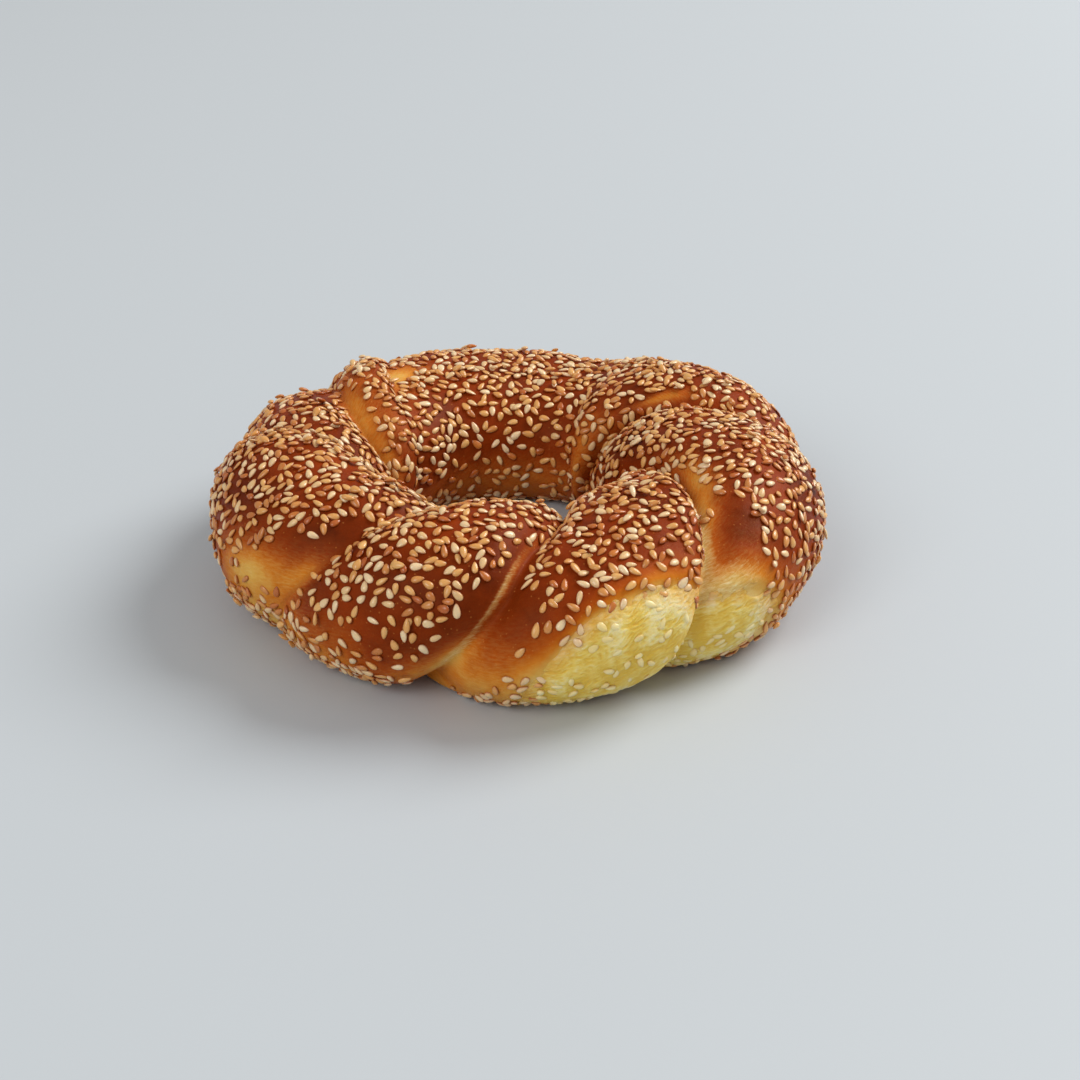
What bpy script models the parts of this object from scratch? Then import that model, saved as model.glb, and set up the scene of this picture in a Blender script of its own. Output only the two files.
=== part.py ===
"""Butter simit: two strands of dough twisted into a rope, closed to a ring and coated with sesame.

Metres, +Z up. The origin is on the surface that the bread stands on, under the middle of its
bounding box, and -Y is the front, the side with the torn crumb.

A point of the crust has a bearing, its angle round the ring from +X, counter-clockwise from above,
and a tube angle, its angle round the rope: 0 outwards, 90 on top, 180 towards the hole, -90 below.
"""
import math
import random
from collections import namedtuple

import bmesh
import bpy
import numpy as np
from mathutils import Matrix, Vector

MM = 0.001

# The ring
RING_RADIUS = 50.3 * MM        # centre line of the rope
RING_OVAL = 0.6 * MM           # longer one way than the other
RING_OVAL_BEARING = 22         # degrees
RING_LEAN = 2.3 * MM           # the front of the ring lies nearer to the hole
ROPE_HALF_WIDTH = 26.5 * MM
ROPE_WIDTH_SWAY = 1.3 * MM     # wider on the right
ROPE_HEIGHT = 40.2 * MM
ROPE_HEIGHT_SWAY = 1.8 * MM
ROPE_MIDDLE = 19.0 * MM        # height of the rope's middle
ROPE_SINK = 3.0 * MM           # how far the round rope would reach below the flat underside
ROPE_SQUARENESS = 2.15         # 2 is an ellipse
CENTRE = (0.56 * MM, 1.33 * MM)  # middle of the bounding box, seen from the ring's own centre

# The twist
TURN = 0.25                    # bearing gained for each turn of the tube angle, at slant 1
TURN_LAG = 0.30                # the strands run straighter over the top
BOW_MIDDLE = 30                # tube angle where the creases bow sideways most
BOW_SPREAD = 35
PILLOW = 2.6 * MM              # how much a strand bulges between its creases
PILLOW_FULLNESS = 0.75         # 1 is half a sine wave, less has fuller shoulders
PILLOW_ROUNDING = 0.06         # rounding where two strands meet, in shares of the bulge
GROOVE_PROFILE = 1.4           # 1 is a sharp groove, 2 a round one
GROOVE_ROUNDING = 0.15         # rounding at the bottom of the grooves, in shares of their width
GROOVE_REACH = 0.7             # a groove fades out from here to the next crease, in lobes
FOOT_FADE = (-50, 50)          # tube angles between which the grooves fade to the outer foot
HOLE_FADE = (150, 250)         # and to the foot in the hole,
HOLE_LOSS = 0.75               # where this share of their depth is lost
SAG_FADE = (80, 135, 200, 260)  # tube angles where a lobe starts to sag, sags fully, and no more
PUSH_SPREAD = 50               # how far up and down the side a lobe's push goes
RISE_FADE = (0, 90, 150, 240)  # tube angles where a lobe starts to rise, rises fully, and no more
LOBE_BLEND = (0.2, 0.8)        # where one lobe's values give way to the next's, from middle to middle
TWIST_FROM = -45               # tube angles between which the creases follow their slant;
TWIST_TO = 225                 # each meets the next but one across the flat underside
EDGE_SOFTNESS = 1.6 * MM       # rounding where the sides meet the underside
EDGE_SLOPE = 0.5               # below that rounding the heights count by this share
UNEVEN = 0.35 * MM             # slow swellings of the hand-made dough

# bearing: on top of the ring, in degrees. slant: 1 for the usual twist. bow: in degrees of bearing.
# pillow: share of the bulge beside it. before and after: width of the groove's two sides, in lobes.
# foot: share of the depth left at the outer foot.
Crease = namedtuple("Crease", "bearing slant bow depth pillow before after foot")
CREASES = (
    Crease(237, 0.85, 3.0, 3.5 * MM, 1.0, 0.10, 0.10, 0.30),
    Crease(278, 0.95, 3.0, 4.5 * MM, 1.0, 0.10, 0.09, 1.00),
    Crease(329, 1.10, -2.5, 6.0 * MM, 1.0, 0.06, 0.12, 0.90),
    Crease(382, 0.90, 0.0, 3.5 * MM, 1.0, 0.09, 0.10, 0.30),
    Crease(427, -0.25, 0.0, 2.0 * MM, 0.8, 0.28, 0.28, 0.30),
    Crease(493, 0.85, 0.0, 0.6 * MM, 0.6, 0.14, 0.20, 0.30),
    Crease(512, 0.95, 0.0, 4.8 * MM, 0.3, 0.50, 0.24, 0.30),
    Crease(542, 0.85, 0.0, 1.4 * MM, 0.4, 0.13, 0.13, 0.05),
)
# The lobe that follows each crease: rise of its top, push of its outer side, sag towards the hole.
Lobe = namedtuple("Lobe", "rise push sag")
LOBES = (
    Lobe(0.3 * MM, -0.3 * MM, 0.0 * MM),
    Lobe(-0.8 * MM, 0.6 * MM, 0.0 * MM),
    Lobe(0.6 * MM, 0.0 * MM, 0.0 * MM),
    Lobe(1.4 * MM, 0.4 * MM, 0.0 * MM),
    Lobe(-2.2 * MM, -1.4 * MM, 0.0 * MM),
    Lobe(2.4 * MM, 0.3 * MM, 3.0 * MM),
    Lobe(-1.8 * MM, -0.6 * MM, 3.0 * MM),
    Lobe(-0.2 * MM, 1.4 * MM, 3.4 * MM),
)

# Waves of the swellings: how often each rises round the ring and round the rope, and where it starts
Wave = namedtuple("Wave", "share round_ring round_rope start")
WAVES = (
    Wave(0.5, 5, 2, 1.9),
    Wave(0.5, 5, -2, 0.7),
    Wave(0.7, 9, 1, 2.0),
    Wave(0.5, 14, -3, 1.57),
)

# Rounded patches of the crust: middle and half size, in lobes and in degrees of tube angle
Patch = namedtuple("Patch", "twist tube half_twist half_tube")
PATCH_SQUARENESS = 2.6         # 2 is an ellipse
PATCH_EDGE = (0.72, 1.18)      # where a patch starts to fade and where it ends, 1 at its half size
TORN_DEPTH = 1.0 * MM          # the crumb lies this much lower than the crust did
TORN = (                       # where the dough tore open in the oven and shows its crumb
    Patch(1.66, -10, 0.36, 42),
    Patch(2.06, -22, 0.30, 36),
)
BARE = (                       # where the crust stretched and has no seeds
    Patch(0.94, 6, 0.13, 40),
    Patch(0.97, 60, 0.08, 24),
    Patch(1.08, 0, 0.10, 42),
    Patch(2.12, 28, 0.12, 40),
    Patch(2.06, 88, 0.06, 24),
    Patch(3.13, 112, 0.06, 22),
    Patch(4.96, 88, 0.10, 14),
    Patch(5.95, 112, 0.17, 40),
    Patch(6.20, 70, 0.12, 10),
    Patch(7.89, 22, 0.11, 20),
    Patch(7.96, 50, 0.06, 18),
)

# The mesh
RING_STEPS = 168
TUBE_STEPS = 60
FACES_KEPT = 0.17              # share of the fine mesh's faces that the solid keeps
FLAT_BELOW = 0.1 * MM          # thinning wavers by less than this, so the underside is levelled

# The seeds
SEED_LENGTH = 3.3 * MM
SEED_WIDTH = 2.0 * MM
SEED_THICKNESS = 1.1 * MM
SEED_SIZE_SPREAD = 0.12
SEED_SEGMENTS = 5
SEED_RINGS = 4
SEED_COUNT = 172
SEED_SPACING = 6.4 * MM        # least distance between two seeds
SEED_LIFT = 0.10 * MM          # height of a seed's middle above the crust
SEED_LOWEST = 2.5 * MM         # no seed starts lower than this
SEED_TUBES = (-40, 215)        # tube angles between which the crust has seeds
SEED_TAPER = 0.5               # a seed's narrow end is thinner by this share, its broad one wider
SEED_DRAWS = 20000
RANDOM_SEED = 7

CRUST_COLOUR = (0.42, 0.15, 0.035, 1.0)
CRUST_ROUGHNESS = 0.45


def clear_scene():
    for obj in list(bpy.data.objects):
        bpy.data.objects.remove(obj, do_unlink=True)


def smooth(low, high, value):
    """0 below low, 1 above high, an S-curve between them."""
    share = np.clip((value - low) / (high - low), 0, 1)
    return share * share * (3 - 2 * share)


def fade(limits, tube):
    """0 below the first of the tube angles given in degrees, 1 above the second."""
    return smooth(math.radians(limits[0]), math.radians(limits[1]), tube)


def of_crease(name, index):
    """The named value of the creases of the given indices."""
    values = np.array([getattr(crease, name) for crease in CREASES])
    return values[index]


def of_lobe(name, twist):
    """The named value of the lobes, blended between the middle of one and the middle of the next."""
    values = np.array([getattr(lobe, name) for lobe in LOBES])
    lobe = np.floor(twist - 0.5).astype(int)
    share = smooth(*LOBE_BLEND, twist - 0.5 - lobe)
    return values[lobe % len(LOBES)] * (1 - share) + values[(lobe + 1) % len(LOBES)] * share


def crease_bearings(tube):
    """Bearings of all creases at each tube angle, over five rounds of the ring."""
    advance = TURN * (tube - math.pi / 2 - TURN_LAG * (np.sin(tube) - 1))
    sideways = np.exp(-((np.degrees(tube) - BOW_MIDDLE) / BOW_SPREAD) ** 2)
    rounds = (-2, -1, 0, 1, 2)
    return np.stack([
        math.radians(crease.bearing + 360 * turn) + crease.slant * advance
        + math.radians(crease.bow) * sideways
        for turn in rounds
        for crease in CREASES
    ])


def twist_between_creases(bearing, tube):
    """Counts creases passed since the first one: whole on a crease, a half midway to the next."""
    creases = crease_bearings(tube)
    passed = np.clip((bearing[None] >= creases).sum(0), 1, len(creases) - 1)
    low = np.take_along_axis(creases, (passed - 1)[None], 0)[0]
    high = np.take_along_axis(creases, passed[None], 0)[0]
    return passed - 1 - 2 * len(CREASES) + (bearing - low) / (high - low)


def twist_at(bearing, tube):
    """The same count everywhere: across the underside each crease meets the next but one."""
    first = math.radians(TWIST_FROM)
    last = math.radians(TWIST_TO)
    twist = twist_between_creases(bearing, np.clip(tube, first, last))
    inner_end = twist_between_creases(bearing, np.full_like(tube, last))
    outer_end = twist_between_creases(bearing, np.full_like(tube, first)) - 2
    below = np.where(tube < first, tube + 2 * math.pi, tube)
    share = (below - last) / (first + 2 * math.pi - last)
    across = inner_end * (1 - share) + outer_end * share
    across = np.where(tube < first, across + 2, across)
    return np.where((tube < first) | (tube > last), across, twist)


def patch_cover(patches, twist, tube):
    """1 on the patches, 0 beside them."""
    cover = np.zeros_like(twist)
    turn = len(CREASES)
    for patch in patches:
        along = (twist - patch.twist + turn / 2) % turn - turn / 2
        across = np.abs(along / patch.half_twist) ** PATCH_SQUARENESS
        up = np.abs((np.degrees(tube) - patch.tube) / patch.half_tube) ** PATCH_SQUARENESS
        cover = np.maximum(cover, 1 - smooth(*PATCH_EDGE, across + up))
    return cover


def groove_depth(twist):
    """Depth of the grooves at each point, from the creases on both sides of it."""
    before = np.floor(twist).astype(int)
    share = twist - before
    depth = np.zeros_like(twist)
    for number, distance, side in ((before, share, "after"), (before + 1, 1 - share, "before")):
        index = number % len(CREASES)
        closeness = np.exp(-np.hypot(distance / of_crease(side, index), GROOVE_ROUNDING) ** GROOVE_PROFILE)
        depth += of_crease("depth", index) * closeness * (1 - smooth(GROOVE_REACH, 1, distance))
    return depth


def relief(twist, tube):
    """Height of the strands, grooves and torn patches over the plain rope."""
    nearest = np.round(twist).astype(int) % len(CREASES)
    foot = of_crease("foot", nearest)
    outside = foot + (1 - foot) * fade(FOOT_FADE, tube)
    inside = 1 - HOLE_LOSS * fade(HOLE_FADE, tube)
    fullness = np.hypot(np.sin(math.pi * twist), PILLOW_ROUNDING) ** PILLOW_FULLNESS
    pillow = PILLOW * of_crease("pillow", nearest) * (fullness - 1)
    height = (pillow - groove_depth(twist)) * np.minimum(outside, inside)
    height += of_lobe("rise", twist) * fade(RISE_FADE[:2], tube) * (1 - fade(RISE_FADE[2:], tube))
    height += of_lobe("push", twist) * np.exp(-(np.degrees(tube) / PUSH_SPREAD) ** 2)
    height -= of_lobe("sag", twist) * fade(SAG_FADE[:2], tube) * (1 - fade(SAG_FADE[2:], tube))
    return height - TORN_DEPTH * patch_cover(TORN, twist, tube)


def unevenness(bearing, tube):
    return UNEVEN * sum(
        wave.share * np.sin(wave.round_ring * bearing + wave.round_rope * tube + wave.start)
        for wave in WAVES)


def rope_section(bearing, tube):
    """Distance from the rope's middle to its plain outline, a rounded box a little wider than high."""
    half_width = ROPE_HALF_WIDTH + ROPE_WIDTH_SWAY * np.cos(bearing)
    height = ROPE_HEIGHT - ROPE_HEIGHT_SWAY * np.sin(bearing) + ROPE_HEIGHT_SWAY * np.cos(2 * bearing)
    above = np.where(np.sin(tube) > 0, height - ROPE_MIDDLE, ROPE_MIDDLE + ROPE_SINK)
    across_share = np.abs(np.cos(tube) / half_width) ** ROPE_SQUARENESS
    up_share = np.abs(np.sin(tube) / above) ** ROPE_SQUARENESS
    return (across_share + up_share) ** (-1 / ROPE_SQUARENESS)


def crust_point(bearing, tube):
    """Position of the crust at a bearing and a tube angle, both arrays."""
    reach = rope_section(bearing, tube) + relief(twist_at(bearing, tube), tube) + unevenness(bearing, tube)
    oval = RING_OVAL * np.cos(2 * (bearing - math.radians(RING_OVAL_BEARING)))
    radius = RING_RADIUS + oval + RING_LEAN * np.sin(bearing) + reach * np.cos(tube)
    height = ROPE_MIDDLE + reach * np.sin(tube)
    softened = EDGE_SOFTNESS + (height - EDGE_SOFTNESS) * EDGE_SLOPE
    height = np.maximum(np.where(height > EDGE_SOFTNESS, height, softened), 0)
    x = radius * np.cos(bearing) - CENTRE[0]
    y = radius * np.sin(bearing) - CENTRE[1]
    return np.stack([x, y, height], -1)


def angles_of_torus(mesh):
    """Bearing and tube angle of each vertex of a primitive torus, the latter from -90 to 270."""
    flat = np.empty(3 * len(mesh.vertices))
    mesh.vertices.foreach_get("co", flat)
    x, y, z = flat.reshape(-1, 3).T
    bearing = np.arctan2(y, x) % (2 * math.pi)
    tube = np.arctan2(z, np.hypot(x, y) - RING_RADIUS)
    return bearing, np.where(tube < -math.pi / 2 - 1e-6, tube + 2 * math.pi, tube)


def make_ring():
    """The bread: a torus whose vertices move out to the crust, then thinned to fewer faces."""
    bpy.ops.mesh.primitive_torus_add(
        major_radius=RING_RADIUS,
        minor_radius=ROPE_HALF_WIDTH,
        major_segments=RING_STEPS,
        minor_segments=TUBE_STEPS,
    )
    ring = bpy.context.object
    ring.name = "simit"
    ring.data.name = "simit"
    bearing, tube = angles_of_torus(ring.data)
    ring.data.vertices.foreach_set("co", crust_point(bearing, tube).ravel())
    thin = ring.modifiers.new("fewer faces", "DECIMATE")
    thin.ratio = FACES_KEPT
    bpy.ops.object.modifier_apply(modifier=thin.name)
    for vertex in ring.data.vertices:
        if vertex.co.z < FLAT_BELOW:
            vertex.co.z = 0.0
    return ring


def seed_cover(bearing, tube):
    """Share of the crust that seeds cover."""
    return 1 - patch_cover(TORN + BARE, twist_at(bearing, tube), tube)


def seed_sites(ring):
    """Places and normals on the ring for the seeds, evenly spread where the crust has them."""
    draw = random.Random(RANDOM_SEED)
    bearings = np.array([draw.uniform(0, 2 * math.pi) for _ in range(SEED_DRAWS)])
    tubes = np.radians([draw.uniform(*SEED_TUBES) for _ in range(SEED_DRAWS)])
    points = crust_point(bearings, tubes)
    crowding = (RING_RADIUS + ROPE_HALF_WIDTH * np.cos(tubes)) / (RING_RADIUS + ROPE_HALF_WIDTH)
    cover = seed_cover(bearings, tubes) * crowding
    sites = []
    for point, chance in zip(points, cover):
        if draw.random() > chance or point[2] < SEED_LOWEST:
            continue
        _, place, normal, _ = ring.closest_point_on_mesh(Vector(point))
        if all((place - other).length > SEED_SPACING for other, _ in sites):
            sites.append((place, normal))
        if len(sites) == SEED_COUNT:
            break
    return sites


def make_seed(place, normal, draw):
    """One seed lying on the crust, a flat drop with its narrow end at +Y before it is turned."""
    mesh = bpy.data.meshes.new("seed")
    shape = bmesh.new()
    bmesh.ops.create_uvsphere(shape, u_segments=SEED_SEGMENTS, v_segments=SEED_RINGS, radius=0.5)
    size = draw.uniform(1 - SEED_SIZE_SPREAD, 1 + SEED_SIZE_SPREAD)
    for vertex in shape.verts:
        along = vertex.co.z
        taper = 1 - SEED_TAPER * along
        vertex.co = size * Vector((
            vertex.co.x * SEED_WIDTH * taper,
            along * SEED_LENGTH,
            vertex.co.y * SEED_THICKNESS * taper,
        ))
    bmesh.ops.recalc_face_normals(shape, faces=shape.faces)
    shape.to_mesh(mesh)
    shape.free()
    seed = bpy.data.objects.new("seed", mesh)
    turn = Matrix.Rotation(draw.uniform(0, 2 * math.pi), 4, "Z")
    lean = normal.to_track_quat("Z", "Y").to_matrix().to_4x4()
    seed.matrix_world = Matrix.Translation(place + normal * SEED_LIFT) @ lean @ turn
    return seed


def fuse_seeds(ring):
    """Joins the seeds to the ring with one union, then removes the loose ones."""
    seeds = bpy.data.collections.new("seeds")
    bpy.context.scene.collection.children.link(seeds)
    draw = random.Random(RANDOM_SEED + 1)
    for place, normal in seed_sites(ring):
        seeds.objects.link(make_seed(place, normal, draw))
    union = ring.modifiers.new("seeds", "BOOLEAN")
    union.operation = "UNION"
    union.operand_type = "COLLECTION"
    union.collection = seeds
    union.solver = "EXACT"
    bpy.context.view_layer.objects.active = ring
    bpy.ops.object.modifier_apply(modifier=union.name)
    for seed in list(seeds.objects):
        bpy.data.objects.remove(seed, do_unlink=True)
    bpy.data.collections.remove(seeds)


def finish(ring):
    """Gives the ring its crust and puts it in the object's collection."""
    crust = bpy.data.materials.new("crust")
    crust.use_nodes = True
    shader = crust.node_tree.nodes["Principled BSDF"]
    shader.inputs["Base Color"].default_value = CRUST_COLOUR
    shader.inputs["Roughness"].default_value = CRUST_ROUGHNESS
    shader.inputs["Metallic"].default_value = 0.0
    ring.data.materials.clear()
    ring.data.materials.append(crust)
    collection = bpy.data.collections.new("butter simit")
    bpy.context.scene.collection.children.link(collection)
    for holder in list(ring.users_collection):
        holder.objects.unlink(ring)
    collection.objects.link(ring)


def main():
    clear_scene()
    ring = make_ring()
    fuse_seeds(ring)
    finish(ring)


if __name__ == "__main__":
    main()
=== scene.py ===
"""Looks of the butter simit: glazed crust, torn crumb and a coat of sesame seeds.

Metres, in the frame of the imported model: +Z up, the torn crumb at the front, towards -Y.

A point of the crust has a twist, which counts the creases passed on the way round the ring and is
whole on a crease, and a tube angle, its angle round the rope: 0 outwards, 90 on top, 180 towards
the hole, -90 below.
"""
import math
from collections import namedtuple
from itertools import product

import bpy
import numpy as np
from mathutils import Matrix, Vector, noise


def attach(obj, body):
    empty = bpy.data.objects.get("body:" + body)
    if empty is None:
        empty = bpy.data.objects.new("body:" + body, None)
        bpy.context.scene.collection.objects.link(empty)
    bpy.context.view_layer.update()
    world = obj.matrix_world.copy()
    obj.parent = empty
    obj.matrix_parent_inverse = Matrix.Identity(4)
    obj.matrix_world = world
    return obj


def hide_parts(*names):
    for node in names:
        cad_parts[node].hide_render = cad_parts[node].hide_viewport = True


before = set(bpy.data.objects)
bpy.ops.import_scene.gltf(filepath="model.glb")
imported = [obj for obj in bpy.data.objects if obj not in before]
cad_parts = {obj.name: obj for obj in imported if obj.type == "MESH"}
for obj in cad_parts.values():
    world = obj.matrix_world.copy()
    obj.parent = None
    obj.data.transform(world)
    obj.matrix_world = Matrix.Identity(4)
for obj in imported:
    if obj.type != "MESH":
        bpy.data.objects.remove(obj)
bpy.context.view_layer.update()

MM = 0.001

# The ring and its twist, as the solid has them
RING_RADIUS = 50.3 * MM        # centre line of the rope
RING_OVAL = 0.6 * MM           # longer one way than the other
RING_OVAL_BEARING = 22         # degrees
RING_LEAN = 2.3 * MM           # the front of the ring lies nearer to the hole
ROPE_HALF_WIDTH = 26.5 * MM
ROPE_WIDTH_SWAY = 1.3 * MM     # wider on the right
ROPE_HEIGHT = 40.2 * MM
ROPE_HEIGHT_SWAY = 1.8 * MM
ROPE_MIDDLE = 19.0 * MM        # height of the rope's middle
ROPE_SINK = 3.0 * MM           # how far the round rope would reach below the flat underside
ROPE_SQUARENESS = 2.15         # 2 is an ellipse
CENTRE = (0.56 * MM, 1.33 * MM)  # middle of the bounding box, seen from the ring's own centre

# The twist
TURN = 0.25                    # bearing gained for each turn of the tube angle, at slant 1
TURN_LAG = 0.30                # the strands run straighter over the top
BOW_MIDDLE = 30                # tube angle where the creases bow sideways most
BOW_SPREAD = 35
PILLOW = 2.6 * MM              # how much a strand bulges between its creases
PILLOW_FULLNESS = 0.75         # 1 is half a sine wave, less has fuller shoulders
PILLOW_ROUNDING = 0.06         # rounding where two strands meet, in shares of the bulge
GROOVE_PROFILE = 1.4           # 1 is a sharp groove, 2 a round one
GROOVE_ROUNDING = 0.15         # rounding at the bottom of the grooves, in shares of their width
GROOVE_REACH = 0.7             # a groove fades out from here to the next crease, in lobes
FOOT_FADE = (-50, 50)          # tube angles between which the grooves fade to the outer foot
HOLE_FADE = (150, 250)         # and to the foot in the hole,
HOLE_LOSS = 0.75               # where this share of their depth is lost
SAG_FADE = (80, 135, 200, 260)  # tube angles where a lobe starts to sag, sags fully, and no more
PUSH_SPREAD = 50               # how far up and down the side a lobe's push goes
RISE_FADE = (0, 90, 150, 240)  # tube angles where a lobe starts to rise, rises fully, and no more
LOBE_BLEND = (0.2, 0.8)        # from middle to middle, where a lobe's values give way to the next's
TWIST_FROM = -45               # tube angles between which the creases follow their slant;
TWIST_TO = 225                 # each meets the next but one across the flat underside
EDGE_SOFTNESS = 1.6 * MM       # rounding where the sides meet the underside
EDGE_SLOPE = 0.5               # below that rounding the heights count by this share
UNEVEN = 0.35 * MM             # slow swellings of the hand-made dough

# bearing: on top of the ring, in degrees. slant: 1 for the usual twist. bow: in degrees of bearing.
# pillow: share of the bulge beside it. before and after: width of the groove's two sides, in lobes.
# foot: share of the depth left at the outer foot.
Crease = namedtuple("Crease", "bearing slant bow depth pillow before after foot")
CREASES = (
    Crease(237, 0.85, 3.0, 3.5 * MM, 1.0, 0.10, 0.10, 0.30),
    Crease(278, 0.95, 3.0, 4.5 * MM, 1.0, 0.10, 0.09, 1.00),
    Crease(329, 1.10, -2.5, 6.0 * MM, 1.0, 0.06, 0.12, 0.90),
    Crease(382, 0.90, 0.0, 3.5 * MM, 1.0, 0.09, 0.10, 0.30),
    Crease(427, -0.25, 0.0, 2.0 * MM, 0.8, 0.28, 0.28, 0.30),
    Crease(493, 0.85, 0.0, 0.6 * MM, 0.6, 0.14, 0.20, 0.30),
    Crease(512, 0.95, 0.0, 4.8 * MM, 0.3, 0.50, 0.24, 0.30),
    Crease(542, 0.85, 0.0, 1.4 * MM, 0.4, 0.13, 0.13, 0.05),
)
# The lobe that follows each crease: rise of its top, push of its outer side, sag towards the hole.
Lobe = namedtuple("Lobe", "rise push sag")
LOBES = (
    Lobe(0.3 * MM, -0.3 * MM, 0.0 * MM),
    Lobe(-0.8 * MM, 0.6 * MM, 0.0 * MM),
    Lobe(0.6 * MM, 0.0 * MM, 0.0 * MM),
    Lobe(1.4 * MM, 0.4 * MM, 0.0 * MM),
    Lobe(-2.2 * MM, -1.4 * MM, 0.0 * MM),
    Lobe(2.4 * MM, 0.3 * MM, 3.0 * MM),
    Lobe(-1.8 * MM, -0.6 * MM, 3.0 * MM),
    Lobe(-0.2 * MM, 1.4 * MM, 3.4 * MM),
)

# Waves of the swellings: share of their height, how often each rises round the ring and round the
# rope, and where it starts
Wave = namedtuple("Wave", "share round_ring round_rope start")
WAVES = (
    Wave(0.5, 5, 2, 1.9),
    Wave(0.5, 5, -2, 0.7),
    Wave(0.7, 9, 1, 2.0),
    Wave(0.5, 14, -3, 1.57),
)

# Rounded patches of the crust: middle and half size, in lobes and in degrees of tube angle
Patch = namedtuple("Patch", "twist tube half_twist half_tube")
PATCH_SQUARENESS = 2.6         # 2 is an ellipse
PATCH_EDGE = (0.72, 1.18)      # where a patch starts to fade and where it ends, 1 at its half size
TORN_DEPTH = 1.0 * MM          # the crumb lies this much lower than the crust did
TORN = (                       # where the dough tore open in the oven and shows its crumb
    Patch(1.66, -10, 0.36, 42),
    Patch(2.06, -22, 0.30, 36),
)
BARE = (                       # where the crust stretched and has no seeds
    Patch(0.94, 6, 0.13, 40),
    Patch(0.97, 60, 0.08, 24),
    Patch(1.08, 0, 0.10, 42),
    Patch(2.12, 28, 0.12, 40),
    Patch(2.06, 88, 0.06, 24),
    Patch(3.13, 112, 0.06, 22),
    Patch(4.96, 88, 0.10, 14),
    Patch(5.95, 112, 0.17, 40),
    Patch(6.20, 70, 0.12, 10),
    Patch(7.89, 22, 0.11, 20),
    Patch(7.96, 50, 0.06, 18),
)

# The crust's mesh
COLUMNS_PER_LOBE = 56
ROWS = 212
ROW_CROWDING = 0.055           # the rows lie closer on top than under the bread
UNDERSIDE = 0.4 * MM           # the crust between the seeds stands this clear of the floor
CRUST_LUMPS = 0.12 * MM        # height of its fine unevenness
NUDGE = 1e-3                   # step in twist and in tube angle to measure a slope

# Noise over the bread: size of its features, and an offset that sets one field apart from the rest
Field = namedtuple("Field", "size offset")
NOISE_GAIN = 1.6               # brings the noise to about -1 to 1
SWAY_FIELD = Field(14 * MM, 0.0)
CRUST_LUMP_FIELD = Field(4 * MM, 7.0)
RAGGED_FIELD = Field(4.0 * MM, 9.0)
RAGGED_FINE_FIELD = Field(1.4 * MM, 5.0)
CRUMB_LUMP_FIELD = Field(5 * MM, 2.0)
CRUMB_SWIRL_FIELD = Field(4 * MM, 6.0)
COARSE_FIBRE_FIELD = Field(1.5, 0.0)  # in the fibres' own millimetres
MEDIUM_FIBRE_FIELD = Field(0.7, 4.0)

# The fibres' own coordinates
FIBRE_RING_RADIUS = 75         # millimetres, as far out as the torn patches
FIBRE_ROPE_RADIUS = 24         # millimetres
FIBRE_LEAN = 12                # degrees by which the fibres rise to the right

# The crumb's own finer sheet, which comes through the crust where that is torn
CRUMB_TWISTS = (1.25, 2.50)
CRUMB_TUBES = (-66, 36)
CRUMB_STEPS = (300, 224)
CRUMB_TUCK = 0.9 * MM          # how far the sheet lies under the whole crust
CRUMB_RISE = 0.15 * MM         # how far it stands out where the crust is torn
CRUMB_CUT = 0.05               # less torn than this, the sheet is cut off
CRUMB_FLUFF = 0.45 * MM        # height of its fibres, which are made of these shares:
COARSE_SHARE = 0.35
MEDIUM_SHARE = 0.40
LUMP_SHARE = 0.45
CRUMB_SWIRL = (0.4, 0.9, 0)    # millimetres by which the fibres wave
CRUMB_STRETCH = (0.42, 1.0, 1.0)  # the noise is drawn out along them
CRUMB_CREAM = (-26, 22)        # tube angles between which the crumb turns from yellow to cream
CRUMB_CREAM_SWAY = 0.12        # radians by which that varies
RAGGED = 0.026                 # how far the torn edge strays, in lobes
RAGGED_FINE = 0.006
RAGGED_UP = 3.5                # and up and down, in radians for each lobe,
RAGGED_LOWEST = -0.05          # but no further than this towards the sheet's upper end

# Golden patches where the crust stretched, and others low on its sides, and how much paler each is
Tint = namedtuple("Tint", "twist tube half_twist half_tube amount")
GOLDEN = (
    Tint(0.965, -9, 0.09, 17, 0.75),
    Tint(0.96, 50, 0.022, 40, 0.36),
    Tint(0.86, -22, 0.14, 16, 0.50),
    Tint(1.17, -22, 0.17, 28, 0.54),
    Tint(1.80, 40, 0.22, 9, 0.10),
    Tint(2.02, 48, 0.035, 34, 0.60),
    Tint(2.11, 12, 0.14, 20, 0.66),
    Tint(2.40, -22, 0.22, 24, 0.60),
    Tint(2.10, 92, 0.09, 24, 0.70),
    Tint(2.05, 68, 0.05, 20, 0.55),
    Tint(3.14, 112, 0.06, 20, 0.58),
    Tint(4.97, 93, 0.17, 20, 0.84),
    Tint(5.50, 120, 0.40, 50, 0.25),
    Tint(5.94, 112, 0.20, 40, 0.66),
    Tint(5.90, 165, 0.17, 26, 0.52),
    Tint(3.40, 174, 0.42, 28, 0.50),
    Tint(4.35, 196, 0.60, 16, 0.34),
    Tint(7.81, 7, 0.17, 18, 0.86),
    Tint(8.02, -22, 0.40, 22, 0.78),
    Tint(7.97, 20, 0.05, 16, 0.55),
)
# Clefts where the crust frayed and shows pale fibres, and how strongly
FRAYED = (
    Tint(0.965, -9, 0.030, 16, 1.00),
    Tint(0.952, 38, 0.015, 36, 0.62),
    Tint(2.018, 44, 0.022, 32, 1.00),
    Tint(2.08, 12, 0.11, 14, 1.00),
)
# Mahogany patches beside them, and how much darker each is
DEEP = (
    Tint(0.84, 34, 0.14, 36, 0.60),
    Tint(2.24, 52, 0.07, 24, 0.10),
    Tint(7.90, 48, 0.10, 12, 0.40),
)

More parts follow.
